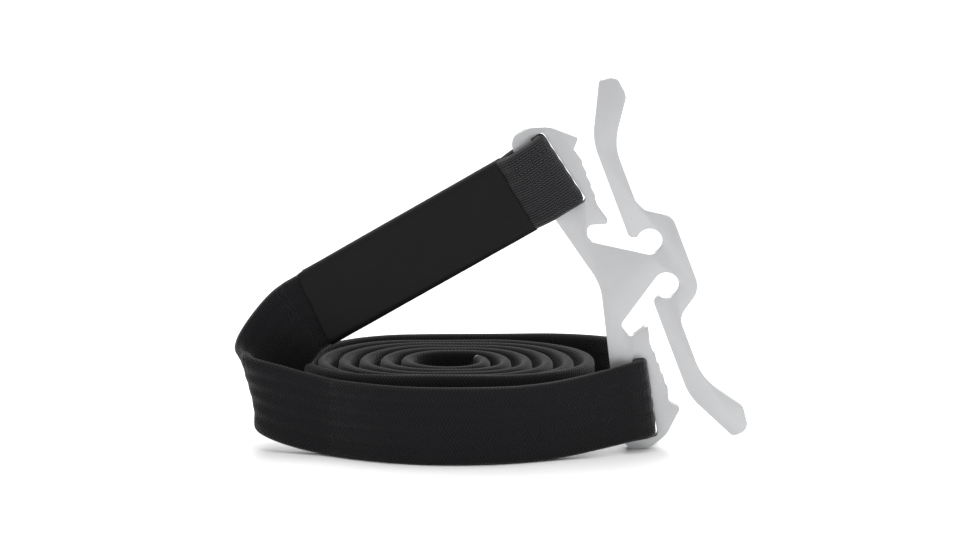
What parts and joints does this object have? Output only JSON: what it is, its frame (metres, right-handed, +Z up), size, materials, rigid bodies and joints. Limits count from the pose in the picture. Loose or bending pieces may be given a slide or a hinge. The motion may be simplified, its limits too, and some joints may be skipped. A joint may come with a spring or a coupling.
{
  "type": "elastic strap tourniquet",
  "caption": "Elastic strap tourniquet: flat sheathed rubber strap sewn to a flat metal locking cleat, its spare length wound in a flat coil.",
  "frame": {"origin": "centre of the footprint, on the surface that it stands on", "axes": "+X to the cleat's side, +Y to the back of the coil, +Z up across the width of the strap"},
  "size_m": [0.1279, 0.0621, 0.0914],
  "materials": {
    "cleat_aluminium": "tumbled matte",
    "woven_sheath": "plain woven, faint lengthwise ribs",
    "latex_strand": "matt",
    "sleeve_film": "smooth matte",
    "sewing_thread": "twisted",
    "fused_end": "heat cut"
  },
  "bodies": {
    "strap": {"label_sleeve": "sleeve_film", "tail_sheath": "woven_sheath", "tail_strands": "latex_strand", "anchor_fold_sheath": "woven_sheath", "anchor_fold_strands": "latex_strand", "label_run_sheath": "woven_sheath", "label_run_strands": "latex_strand", "left_bend_sheath": "woven_sheath", "left_bend_strands": "latex_strand", "front_band_sheath": "woven_sheath", "front_band_strands": "latex_strand", "slot_turn_sheath": "woven_sheath", "slot_turn_strands": "latex_strand", "coil_sheath": "woven_sheath", "coil_strands": "latex_strand", "front_stitching": "sewing_thread", "tail_stitching": "sewing_thread", "tail_end_seal": "fused_end", "free_end_seal": "fused_end"},
    "cleat": {"cleat_plate": "cleat_aluminium"}
  },
  "joints": [
    {"name": "cleat_swing", "type": "hinge", "parent": "strap", "child": "cleat", "pos_m": [0.02427, -0.01205, 0.03936], "axis": [-0.3535, 0, 0.9354], "range_deg": [-6, 6]}
  ]
}
